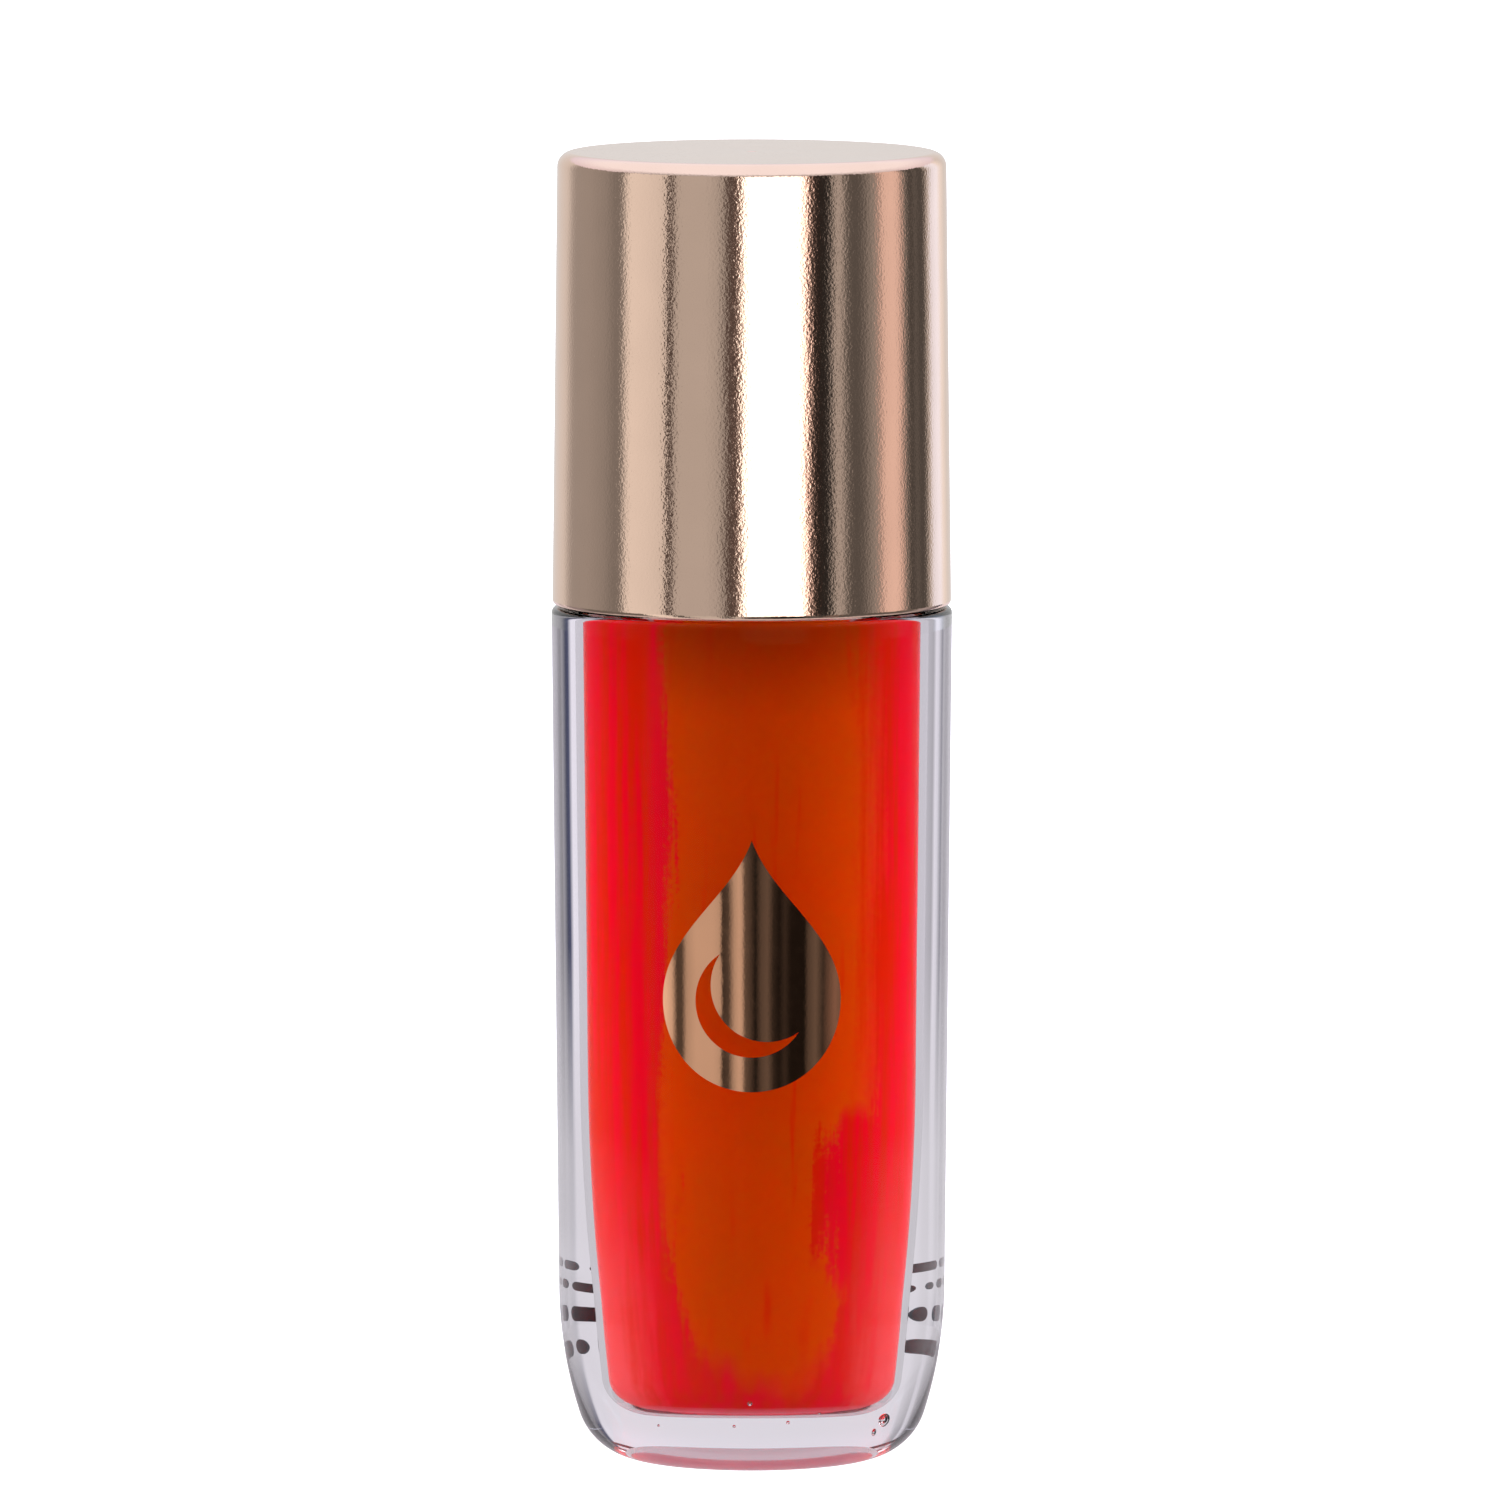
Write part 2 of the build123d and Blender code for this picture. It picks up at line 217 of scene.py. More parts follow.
def neck_thread(turn, radius, height):
    """How far the screw thread stands out of the neck's wall at a turn (radians) and height."""
    if abs(radius - NECK_RADIUS) > TINY:
        return 0
    reach = 0
    for lap in range(math.ceil(THREAD_TURNS)):
        laps = lap + turn / (2 * math.pi)
        if laps > THREAD_TURNS:
            continue
        away = abs(height - THREAD_START - THREAD_PITCH * laps)
        slope = (THREAD_ROOT / 2 - away) / (THREAD_ROOT / 2 - THREAD_CREST / 2)
        run_out = min(1, laps / THREAD_RUN_OUT, (THREAD_TURNS - laps) / THREAD_RUN_OUT)
        reach = max(reach, THREAD_DEPTH * min(1, max(0, slope)) * run_out)
    return reach


def supported(outline):
    """The outline with a point near both ends of each long line, so that straight walls shade flat."""
    points = [outline[0]]
    for start, end in zip(outline, outline[1:]):
        way = Vector(end) - Vector(start)
        if way.length > LONG_LINE:
            step = way.normalized() * SUPPORT_GAP
            points += [tuple(Vector(start) + step), tuple(Vector(end) - step)]
        points.append(end)
    return points


# ---- Making pieces -----------------------------------------------------------------------------
def new_piece(name, mesh, body, material, replaced=()):
    """Turn a bmesh into a smooth piece that rides on a body and stands for some CAD nodes."""
    data = bpy.data.meshes.new(name)
    mesh.to_mesh(data)
    mesh.free()
    piece = bpy.data.objects.new(name, data)
    bpy.context.collection.objects.link(piece)
    data.shade_smooth()
    data.set_sharp_from_angle(angle=math.radians(SHARP_ANGLE))
    data.materials.append(material)
    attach(piece, body)
    if replaced:
        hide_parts(*replaced)
    return piece


def lathe(outline, relief=None):
    """Bmesh of revolution about Z of an outline of (radius, height) points that ends on the axis.

    A relief is a function of turn, radius and height that says how far the skin stands out."""
    mesh = bmesh.new()
    rings = []
    for radius, height in supported(outline):
        ring = []
        for step in range(SEGMENTS if radius > TINY else 1):
            turn = 2 * math.pi * step / SEGMENTS
            reach = radius + (relief(turn, radius, height) if relief else 0)
            place = Vector((reach * math.cos(turn), reach * math.sin(turn), height))
            ring.append(mesh.verts.new(place * MM))
        rings.append(ring)
    for low, high in zip(rings, rings[1:]):
        for step in range(SEGMENTS):
            after = (step + 1) % SEGMENTS
            corners = []
            for ring, place in ((low, step), (low, after), (high, after), (high, step)):
                corner = ring[place % len(ring)]
                if corner not in corners:
                    corners.append(corner)
            mesh.faces.new(corners)
    bmesh.ops.recalc_face_normals(mesh, faces=mesh.faces)
    return mesh


def flat_patch(outer, hole):
    """Flat sheet cut in upright slices, ready to bend. Its outlines are (arc length, height) points."""
    loops = [[Vector((x, 0, z)) for x, z in loop] for loop in (outer, hole) if loop]
    corners = [point for loop in loops for point in loop]
    mesh = bmesh.new()
    verts = [mesh.verts.new(point) for point in corners]
    for triangle in tessellate_polygon(loops):
        mesh.faces.new([verts[index] for index in triangle])
    low = min(point.x for point in corners)
    high = max(point.x for point in corners)
    cuts = int((high - low) / SLICE_WIDTH)
    for cut in range(1, cuts):
        where = Vector((low + (high - low) * cut / cuts, 0, 0))
        everything = mesh.verts[:] + mesh.edges[:] + mesh.faces[:]
        bmesh.ops.bisect_plane(mesh, geom=everything, plane_co=where, plane_no=(1, 0, 0), dist=TINY)
    bmesh.ops.remove_doubles(mesh, verts=mesh.verts, dist=WELD_GAP)
    bmesh.ops.recalc_face_normals(mesh, faces=mesh.faces)
    return mesh


def bend_on_bottle(mesh, facing):
    """Bend a flat patch round the bottle: facing is -1 for the front (-Y) and 1 for the back."""
    for vert in mesh.verts:
        x, depth, z = vert.co
        radius = outside_radius(z) + SKIN_GAP + SKIN_THICKNESS + depth
        turn = -facing * x / outside_radius(z) + facing * math.pi / 2
        vert.co = Vector((radius * math.cos(turn), radius * math.sin(turn), z)) * MM


def skin_patch(name, loops, facing, material, replaced):
    """Solid patch of foil or ink on the bottle, made of several outlines with or without a hole."""
    whole = bmesh.new()
    for outer, hole in loops:
        flat = flat_patch(outer, hole)
        scratch = bpy.data.meshes.new("scratch")
        flat.to_mesh(scratch)
        flat.free()
        whole.from_mesh(scratch)
        bpy.data.meshes.remove(scratch)
    edges = [edge for edge in whole.edges if edge.is_boundary]
    faces = whole.faces[:]
    below = bmesh.ops.duplicate(whole, geom=whole.verts[:] + whole.edges[:] + faces)
    twin = below["vert_map"]
    for vert in [item for item in below["geom"] if isinstance(item, bmesh.types.BMVert)]:
        vert.co.y -= SKIN_THICKNESS
    for edge in edges:
        first, second = edge.verts
        whole.faces.new((first, second, twin[second], twin[first]))
    bend_on_bottle(whole, facing)
    bmesh.ops.recalc_face_normals(whole, faces=whole.faces)
    return new_piece(name, whole, "tube", material, replaced)


# ---- Materials ---------------------------------------------------------------------------------
class Nodes:
    """Short calls that add nodes to a tree and wire them."""

    def __init__(self, tree):
        self.tree = tree

    def node(self, kind, **settings):
        """New node of a kind, with some of its properties set."""
        made = self.tree.nodes.new(kind)
        for key, value in settings.items():
            setattr(made, key, value)
        return made

    def link(self, source, target):
        self.tree.links.new(source, target)

    def fill(self, socket, value):
        """Wire a socket to another, or set it to a number or colour."""
        if hasattr(value, "links"):
            self.link(value, socket)
        else:
            socket.default_value = value

    def spread(self, value, low, high, to_low, to_high):
        """Value remapped from one range to another and clamped."""
        remap = self.node("ShaderNodeMapRange")
        labels = ("From Min", "From Max", "To Min", "To Max")
        for label, number in zip(labels, (low, high, to_low, to_high)):
            remap.inputs[label].default_value = number
        self.link(value, remap.inputs["Value"])
        return remap.outputs["Result"]

    def blend(self, amount, first, second):
        """Colour mixed from first to second; each is an RGBA or a socket."""
        mix = self.node("ShaderNodeMix", data_type="RGBA")
        self.fill(mix.inputs["Factor"], amount)
        for label, colour in (("A", first), ("B", second)):
            sockets = [item for item in mix.inputs if item.name == label and item.type == "RGBA"]
            self.fill(sockets[0], colour)
        return [item for item in mix.outputs if item.type == "RGBA"][0]

    def math(self, operation, first, second=0.0):
        """Result of a Math node; each value is a number or a socket."""
        made = self.node("ShaderNodeMath", operation=operation)
        self.fill(made.inputs[0], first)
        self.fill(made.inputs[1], second)
        return made.outputs["Value"]


class Look(Nodes):
    """A procedural material: a Principled shader with textures in object coordinates."""

    def __init__(self, name, **sockets):
        self.material = bpy.data.materials.new(name)
        self.material.use_nodes = True
        super().__init__(self.material.node_tree)
        self.shader = self.tree.nodes["Principled BSDF"]
        self.output = self.tree.nodes["Material Output"]
        for label, value in sockets.items():
            self.shader.inputs[label.replace("_", " ")].default_value = value
        self.place = self.node("ShaderNodeTexCoord").outputs["Object"]

    def stretched(self, scale):
        """Object coordinates scaled apart along X, Y and Z."""
        mapping = self.node("ShaderNodeMapping")
        mapping.inputs["Scale"].default_value = scale
        self.link(self.place, mapping.inputs["Vector"])
        return mapping.outputs["Vector"]

    def noise(self, size_mm, detail=3.0, roughness=0.5, where=None):
        """Noise whose blobs are about size_mm across."""
        noise = self.node("ShaderNodeTexNoise")
        noise.inputs["Scale"].default_value = 1 / (size_mm * MM)
        noise.inputs["Detail"].default_value = detail
        noise.inputs["Roughness"].default_value = roughness
        self.link(where or self.place, noise.inputs["Vector"])
        return noise.outputs["Fac"]

    def bump(self, height, depth_mm, strength=1.0):
        """Relief of a given depth on the shader's normal, over any relief it has already."""
        bump = self.node("ShaderNodeBump")
        bump.inputs["Strength"].default_value = strength
        bump.inputs["Distance"].default_value = depth_mm * MM
        self.link(height, bump.inputs["Height"])
        for old in list(self.shader.inputs["Normal"].links):
            self.link(old.from_socket, bump.inputs["Normal"])
        self.link(bump.outputs["Normal"], self.shader.inputs["Normal"])

    def feed(self, socket, source):
        """Wire a socket of the shader, by its name."""
        self.link(source, self.shader.inputs[socket])

    def split(self):
        """The object coordinates as three sockets, X, Y and Z."""
        axes = self.node("ShaderNodeSeparateXYZ")
        self.link(self.place, axes.inputs["Vector"])
        return axes.outputs


PLASTIC_IOR = 1.57
GEL_IOR = 1.50


def clear_plastic():
    """Polished clear PETG: faint moulding waves, fine scuffs and a cool tint where it is thick."""
    look = Look(
        "clear_petg",
        Base_Color=(1, 1, 1, 1),
        Transmission_Weight=1.0,
        IOR=PLASTIC_IOR,
        Specular_Tint=(0.06, 0.06, 0.06, 1),
    )
    look.bump(look.noise(5.0, 1.0, where=look.stretched((1, 1, 0.35))), 0.02, 0.25)
    scuffs = look.noise(0.25, 4.0, 0.7, look.stretched((1, 1, 0.12)))
    look.feed("Roughness", look.spread(scuffs, 0.62, 0.8, 0.006, 0.09))
    tint = look.node("ShaderNodeVolumeAbsorption")
    tint.inputs["Color"].default_value = (0.86, 0.84, 0.92, 1)
    tint.inputs["Density"].default_value = 14.0
    look.link(tint.outputs["Volume"], look.output.inputs["Volume"])
    return look.material


# The range that most values of a noise lie in.
NOISE_RANGE = (0.3, 0.7)

# Colours of the gloss. Crimson and scarlet are its own. The paler red and the pink are painted light, and
# the oranges with their red streaks are painted shade.
CRIMSON = (0.92, 0.001, 0.016, 1)
SCARLET = (0.8, 0.014, 0.0005, 1)
PAINTED_LIGHT_RED = (0.99, 0.075, 0.08, 1)
UNDERSIDE_LIGHT_PINK = (0.95, 0.24, 0.3, 1)
FRONT_SHADE_ORANGE = (0.76, 0.072, 0.0003, 1)
FRONT_SHADE_WARM_ORANGE = (0.87, 0.06, 0.0003, 1)
STREAK_RED = (0.86, 0.014, 0.0003, 1)
SHADED_ORANGE = (0.35, 0.022, 0.0003, 1)

# Where they lie: azimuths in degrees from the front (-Y) to the right (+X), heights in metres.
# The painted shade on the front of the gel: its side edges, its bowed foot and a round patch where it is
# left out.
FRONT_SHADE_LEFT_EDGE = (-43, -36)
FRONT_SHADE_RIGHT_EDGE = (46, 68)
FRONT_SHADE_FOOT_EDGE = (0.0045, 0.0065)
FOOT_MIDDLE = 5.0
FOOT_HALF_WIDTH = 44.0
FOOT_RISE = 0.006
PATCH_AZIMUTH = 46.0
PATCH_HALF_WIDTH = 17.0
PATCH_LEVEL = 0.0148
PATCH_HALF_HEIGHT = 0.0048
# Painted light: where the gel is paler low at the sides.
PAINTED_LIGHT_SIDES = (48, 75)
PAINTED_LIGHT_HEIGHTS = (0.005, 0.018)
SHADED_HEIGHTS = (0.0415, 0.0475)
# Painted light from the floor on the gel's underside.
GEL_FLOOR = (0.0036, 0.004)
HAZED_FLOOR = (0.0036, 0.0043)
GEL_TOP = (0.0474, 0.0475)


def front_shade_share(look, azimuth, level):
    """Share of painted shade on the front of the gel: a panel with a bowed foot, less a round patch where
    it is left out.
    """
    left = look.spread(azimuth, *FRONT_SHADE_LEFT_EDGE, 0, 1)
    right = look.spread(azimuth, *FRONT_SHADE_RIGHT_EDGE, 1, 0)
    turned = look.math("DIVIDE", look.math("SUBTRACT", azimuth, FOOT_MIDDLE), FOOT_HALF_WIDTH)
    foot = look.math("MULTIPLY", look.math("POWER", turned, 4.0), FOOT_RISE)
    risen = look.spread(look.math("SUBTRACT", level, foot), *FRONT_SHADE_FOOT_EDGE, 0, 1)
    panel = look.math("MULTIPLY", look.math("MULTIPLY", left, right), risen)
    across = look.math("DIVIDE", look.math("SUBTRACT", azimuth, PATCH_AZIMUTH), PATCH_HALF_WIDTH)
    along = look.math("DIVIDE", look.math("SUBTRACT", level, PATCH_LEVEL), PATCH_HALF_HEIGHT)
    away = look.math("ADD", look.math("POWER", across, 2.0), look.math("POWER", along, 2.0))
    return look.math("MULTIPLY", panel, look.spread(away, 0.7, 1.3, 0, 1))


def gloss_colour(look, x, y, height):
    """Colour of the gel: crimson, with painted light that makes it paler low at the sides and pink on its
    underside, and painted shade that darkens its front and its top under the cap.
    """
    streaks = look.noise(0.8, 3.0, 0.6, look.stretched((1, 1, 0.05)))
    clouds = look.noise(5.0, 3.0, 0.55, look.stretched((1, 1, 0.5)))
    grain = look.noise(0.25, 2.0, 0.6)
    azimuth = look.math("DEGREES", look.math("ARCTAN2", x, look.math("MULTIPLY", y, -1.0)))
    azimuth = look.math("ADD", azimuth, look.spread(streaks, *NOISE_RANGE, -8, 8))
    azimuth = look.math("ADD", azimuth, look.spread(grain, *NOISE_RANGE, -3, 3))
    level = look.math("ADD", height, look.spread(clouds, *NOISE_RANGE, -0.0015, 0.0015))
    crimson = look.blend(look.spread(streaks, 0.42, 0.58, 0, 1), CRIMSON, SCARLET)
    # Painted light: the gel is paler low at the sides.
    aside = look.spread(look.math("ABSOLUTE", azimuth), *PAINTED_LIGHT_SIDES, 0.1, 1)
    painted_light_low = look.math("MULTIPLY", aside, look.spread(level, *PAINTED_LIGHT_HEIGHTS, 1, 0))
    crimson = look.blend(painted_light_low, crimson, PAINTED_LIGHT_RED)
    # Painted shade: a darker, browner front panel, darker still under the cap.
    front_shade = look.blend(look.spread(clouds, *NOISE_RANGE, 0, 1), FRONT_SHADE_ORANGE, FRONT_SHADE_WARM_ORANGE)
    front_shade = look.blend(look.spread(streaks, 0.6, 0.75, 0, 0.6), front_shade, STREAK_RED)
    front_shade = look.blend(look.spread(height, *SHADED_HEIGHTS, 0, 0.7), front_shade, SHADED_ORANGE)
    body = look.blend(front_shade_share(look, azimuth, level), crimson, front_shade)
    # Painted light from the floor: the gel turns pink on its underside.
    return look.blend(look.spread(height, *GEL_FLOOR, 1, 0), body, UNDERSIDE_LIGHT_PINK)


def gloss_mirror(look, height):
    """Share of mirror: what gel shows against the plastic wall, or against air at its open top."""
    wall = look.node("ShaderNodeFresnel")
    wall.inputs["IOR"].default_value = GEL_IOR / PLASTIC_IOR
    air = look.node("ShaderNodeFresnel")
    air.inputs["IOR"].default_value = GEL_IOR
    against_wall = look.math("MULTIPLY", wall.outputs["Fac"], look.spread(height, *HAZED_FLOOR, 0.65, 1))
    return look.blend(look.spread(height, *GEL_TOP, 0, 1), against_wall, air.outputs["Fac"])


def red_gloss():
    """Wet red gel that mirrors the bottle's wall at grazing angles."""
    look = Look(
        "red_gloss",
        Subsurface_Weight=0.4,
        Subsurface_Radius=(1.0, 0.1, 0.08),
        Subsurface_Scale=0.0012,
        Roughness=0.15,
        Specular_IOR_Level=0.0,
    )
    x, y, height = look.split()
    look.feed("Base Color", gloss_colour(look, x, y, height))
    mirror = look.node("ShaderNodeBsdfGlossy")
    mirror.inputs["Roughness"].default_value = 0.02
    both = look.node("ShaderNodeMixShader")
    look.link(gloss_mirror(look, height), both.inputs["Fac"])
    look.link(look.shader.outputs["BSDF"], both.inputs[1])
    look.link(mirror.outputs["BSDF"], both.inputs[2])
    look.link(both.outputs["Shader"], look.output.inputs["Surface"])
    return look.material


def rose_gold(name, colour, peel_depth, roughness):
    """Vacuum-metallised rose gold over moulded plastic: slow waves, orange peel and patchy haze."""
    look = Look(name, Metallic=1.0)
    tone = look.spread(look.noise(3.0, 2.0), *NOISE_RANGE, 0, 1)
    paler = tuple(min(1, part * 1.04) for part in colour[:3]) + (1,)
    look.feed("Base Color", look.blend(tone, colour, paler))
    haze = look.noise(0.5, 4.0, 0.7)
    look.feed("Roughness", look.spread(haze, 0.35, 0.8, roughness, roughness + 0.08))
    look.bump(look.noise(6.0, 1.0), 0.03)
    look.bump(look.noise(0.15, 1.0, 0.6), peel_depth)
    return look.material


def moulded(name, colour, roughness, translucent=0.1):
    """Look of moulded polyolefin: fine satin grain, flow shading and a little light inside."""
    look = Look(name, Subsurface_Weight=translucent, Subsurface_Scale=0.0006, IOR=1.49)
    flow = look.noise(4.0, 2.0, 0.5, look.stretched((1, 1, 0.3)))
    darker = tuple(part * 0.93 for part in colour[:3]) + (1,)
    look.feed("Base Color", look.blend(look.spread(flow, 0.35, 0.7, 0, 1), colour, darker))
    grain = look.noise(0.35, 3.0, 0.6)
    look.feed("Roughness", look.spread(grain, *NOISE_RANGE, roughness - 0.05, roughness + 0.1))
    look.bump(grain, 0.008)
    return look


# The film of gloss thins out upwards between these heights, in metres.
FILM_HEIGHTS = (0.022, 0.05)


def wet_stem():
    """White moulded stem with a film of gloss left on its lower half by the wiper."""
    look = moulded("stem_polypropylene", (0.7, 0.685, 0.67, 1), 0.28, 0.15)
    height = look.split()["Z"]
    runs = look.noise(0.9, 2.0, 0.5, look.stretched((1, 1, 0.15)))
    wetted = look.spread(height, *FILM_HEIGHTS, 1, 0)
    film = look.math("MULTIPLY", look.spread(runs, 0.4, 0.65, 0.1, 0.7), wetted)
    dry = look.shader.inputs["Base Color"].links[0].from_socket
    look.feed("Base Color", look.blend(film, dry, (0.75, 0.12, 0.1, 1)))
    return look.material


def foam():
    """Closed-cell gasket foam with fine pits, each painted darker towards its bottom as painted shade."""
    look = Look("gasket_foam", Roughness=0.8)
    cells = look.node("ShaderNodeTexVoronoi")
    cells.inputs["Scale"].default_value = 1 / (0.25 * MM)
    look.link(look.place, cells.inputs["Vector"])
    # Painted shade: each pit is darker where it is deepest.
    shade = look.spread(cells.outputs["Distance"], 0.1, 0.7, 0, 1)
    look.feed("Base Color", look.blend(shade, (0.86, 0.85, 0.82, 1), (0.93, 0.92, 0.9, 1)))
    look.bump(cells.outputs["Distance"], 0.03)
    return look.material


def soaked_flock():
    """Short nylon flock, matted and tinted by the gloss it holds."""
    look = Look(
        "soaked_flock",
        Roughness=0.45,
        Subsurface_Weight=0.3,
        Subsurface_Scale=0.0004,
        Sheen_Weight=0.35,
        Sheen_Roughness=0.4,
    )
    patches = look.spread(look.noise(1.3, 3.0), 0.35, 0.7, 0, 1)
    look.feed("Base Color", look.blend(patches, (0.72, 0.012, 0.012, 1), (0.5, 0.006, 0.006, 1)))
    look.bump(look.noise(0.08, 2.0), 0.03)
    return look.material


def ink():
    """Screen-printed black ink with a slightly uneven film."""
    look = Look("black_ink")
    film = look.noise(0.2, 3.0)
    look.feed("Base Color", look.blend(film, (0.012, 0.012, 0.02, 1), (0.03, 0.03, 0.045, 1)))
    look.feed("Roughness", look.spread(film, *NOISE_RANGE, 0.35, 0.6))
    return look.material


# ---- The object's pieces -----------------------------------------------------------------------
def make_bottle(material):
    """The clear wall with its threaded neck. Bubbles are small closed skins that face inwards."""
    outline = bottle_outside() + bore(0, NECK_TOP - NECK_EDGE)
    mesh = lathe(outline, neck_thread)
    for x, y, z, radius in BUBBLES:
        place = Matrix.Translation(Vector((x, y, z)) * MM)
        bubble = bmesh.ops.create_icosphere(mesh, subdivisions=3, radius=radius * MM, matrix=place)
        skin = {face for vert in bubble["verts"] for face in vert.link_faces}
        bmesh.ops.reverse_faces(mesh, faces=list(skin))
    return new_piece("bottle_wall", mesh, "tube", material, ["bottle"])


def make_gloss(material):
    """The gloss overlaps the bore's wall a hair, and its top creeps up the wall a little."""
    creep = [
        (0, GLOSS_LEVEL - 0.1),
        (3.0, GLOSS_LEVEL - 0.08),
        (5.0, GLOSS_LEVEL - 0.02),
        (5.8, GLOSS_LEVEL + 0.1),
        (BORE_RADIUS + GLOSS_OVERLAP, GLOSS_LEVEL + 0.35),
    ]
    mesh = lathe(creep + bore(GLOSS_OVERLAP, GLOSS_LEVEL)[1:])
    return new_piece("gloss_fill", mesh, "tube", material, ["gloss"])


def make_cap_shell(material):
    """The plated shell, with the small gate mark in the middle of its top."""
    bottom = (CAP_BOTTOM_RADIUS, CAP_BOTTOM)
    top = (CAP_TOP_RADIUS, TOTAL_HEIGHT)
    mouth = (CAP_BORE_RADIUS, CAP_BOTTOM)
    lead_in = (CAP_BORE_RADIUS, CAP_BOTTOM + CAP_LEAD_IN)
    outline = [
        (0, TOTAL_HEIGHT - 0.04),
        (0.18, TOTAL_HEIGHT - 0.035),
        (0.26, TOTAL_HEIGHT - 0.005),
        (0.32, TOTAL_HEIGHT),
        (3.0, TOTAL_HEIGHT),
        (7.0, TOTAL_HEIGHT),
    ]
    outline += rounded(top, (0, TOTAL_HEIGHT), bottom, CAP_TOP_EDGE, 12)
    outline += rounded(bottom, top, mouth, CAP_BOTTOM_EDGE)
    outline += rounded((CAP_BORE_RADIUS + CAP_LEAD_IN, CAP_BOTTOM), bottom, lead_in, CAP_MOUTH_EDGE, 3)
    outline += [lead_in, (CAP_BORE_RADIUS, CAP_CEILING), (0, CAP_CEILING)]
    mesh = lathe(outline)
    return new_piece("cap_shell_plated", mesh, "cap", material, ["cap_shell"])


def hermite(start, end, start_way, end_way, steps):
    """Curve between two points that leaves and arrives along the given directions."""
    start, end = Vector(start), Vector(end)
    reach = (end - start).length
    leave = Vector(start_way).normalized() * reach
    arrive = Vector(end_way).normalized() * reach
    points = []
    for step in range(1, steps):
        t = step / steps
        point = start * (2 * t**3 - 3 * t**2 + 1) + leave * (t**3 - 2 * t**2 + t)
        point += end * (3 * t**2 - 2 * t**3) + arrive * (t**3 - t**2)
        points.append(tuple(point))
    return points


def make_emblem(material):
    """A plain drop with a crescent glint cut out of it."""
    bowl_radius = EMBLEM_WIDTH / 2
    bowl_centre = (0, EMBLEM_CENTRE - EMBLEM_HEIGHT / 2 + bowl_radius)
    tip = (0, EMBLEM_CENTRE + EMBLEM_HEIGHT / 2)
    start = math.radians(180 - EMBLEM_BOWL_RISE)
    end = math.radians(360 + EMBLEM_BOWL_RISE)
    outer = arc(bowl_centre, bowl_radius, start, end, 72)
    outer += hermite(outer[-1], tip, (-math.sin(end), math.cos(end)), (-EMBLEM_TIP_LEAN, 1), 24)
    outer.append(tip)
    outer += hermite(tip, outer[0], (-EMBLEM_TIP_LEAN, -1), (-math.sin(start), math.cos(start)), 24)
    shifted = (bowl_centre[0] + GLINT_SHIFT, bowl_centre[1] + GLINT_SHIFT)
    axis = math.radians(45)
    reach = math.acos(math.hypot(GLINT_SHIFT, GLINT_SHIFT) / 2 / GLINT_RADIUS)
    glint = arc(bowl_centre, GLINT_RADIUS, axis + reach, axis + 2 * math.pi - reach, 60)
    glint += arc(shifted, GLINT_RADIUS, axis + math.pi + reach, axis + math.pi - reach, 60)[1:-1]
    return skin_patch("emblem_foil", [(outer, glint)], -1, material, ["front_emblem"])


def dash_outline(left, middle, length):
    """Bar with round ends, or a round dot where it would be no longer than it is high."""
    half = min(length, INK_HEIGHT) / 2
    if length <= INK_HEIGHT:
        return arc((left + half, middle), half, 0, 2 * math.pi, 20)[:-1]
    outline = arc((left + length - half, middle), half, -math.pi / 2, math.pi / 2, 10)
    return outline + arc((left + half, middle), half, math.pi / 2, 3 * math.pi / 2, 10)


def make_back_print(material):
    """Rows of plain ink dashes."""
    loops = []
    for row, dashes in enumerate(INK_ROWS):
        middle = INK_BOTTOM + row * INK_PITCH + INK_HEIGHT / 2
        place = -(sum(dashes) + INK_GAP * (len(dashes) - 1)) / 2
        for dash in dashes:
            loops.append((dash_outline(place, middle, dash), None))
            place += dash + INK_GAP
    return skin_patch("back_print_dashes", loops, 1, material, ["back_print"])


def paint_node(node, material):
    """Give a carried-over CAD piece its finished material."""
    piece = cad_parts[node]
    for place in range(len(piece.data.materials)):
        piece.material_slots[place].material = material


def outer_faces(skin, x):
    """Faces of the flocked skin that look away from its upright middle line."""
    faces = []
    for face in skin.polygons:
        middle = Vector((x, APPLICATOR_MIDDLE * MM, face.center.z))
        if face.normal.dot(face.center - middle) > 0:
            faces.append(face)
    return faces


def add_fibre(mesh, skin, face):
    """Add a tapered three-sided fibre that stands at a random place on a face, leaning down."""
    corners = [skin.vertices[index].co for index in face.vertices[:3]]
    first, second = random.random(), random.random()
    if first + second > 1:
        first, second = 1 - first, 1 - second
    foot = corners[0] + (corners[1] - corners[0]) * first + (corners[2] - corners[0]) * second
    lean = [random.gauss(mean, FIBRE_LEAN) for mean in (0, 0, -FIBRE_LEAN)]
    way = (face.normal + Vector(lean)).normalized()
    side = way.orthogonal().normalized()
    other = way.cross(side)
    length = random.uniform(*FIBRE_LENGTH) * MM
    ring = []
    for step in range(3):
        turn = 2 * math.pi * step / 3
        spoke = (side * math.cos(turn) + other * math.sin(turn)) * FIBRE_RADIUS * MM
        ring.append(mesh.verts.new(foot - way * FIBRE_ROOT * MM + spoke))
    tip = mesh.verts.new(foot + way * length)
    for step in range(3):
        mesh.faces.new((ring[step], ring[(step + 1) % 3], tip))
    mesh.faces.new(ring[::-1])


def make_flock_fibres(material):
    """Short fibres that stand on the applicator's flocked skin."""
    random.seed(7)
    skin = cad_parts["applicator_flock"].data
    low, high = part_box("applicator_flock")
    faces = outer_faces(skin, (low[0] + high[0]) / 2)
    mesh = bmesh.new()
    for face in random.choices(faces, weights=[face.area for face in faces], k=FIBRE_COUNT):
        add_fibre(mesh, skin, face)
    bmesh.ops.recalc_face_normals(mesh, faces=mesh.faces)
    return new_piece("flock_fibres", mesh, "cap", material)


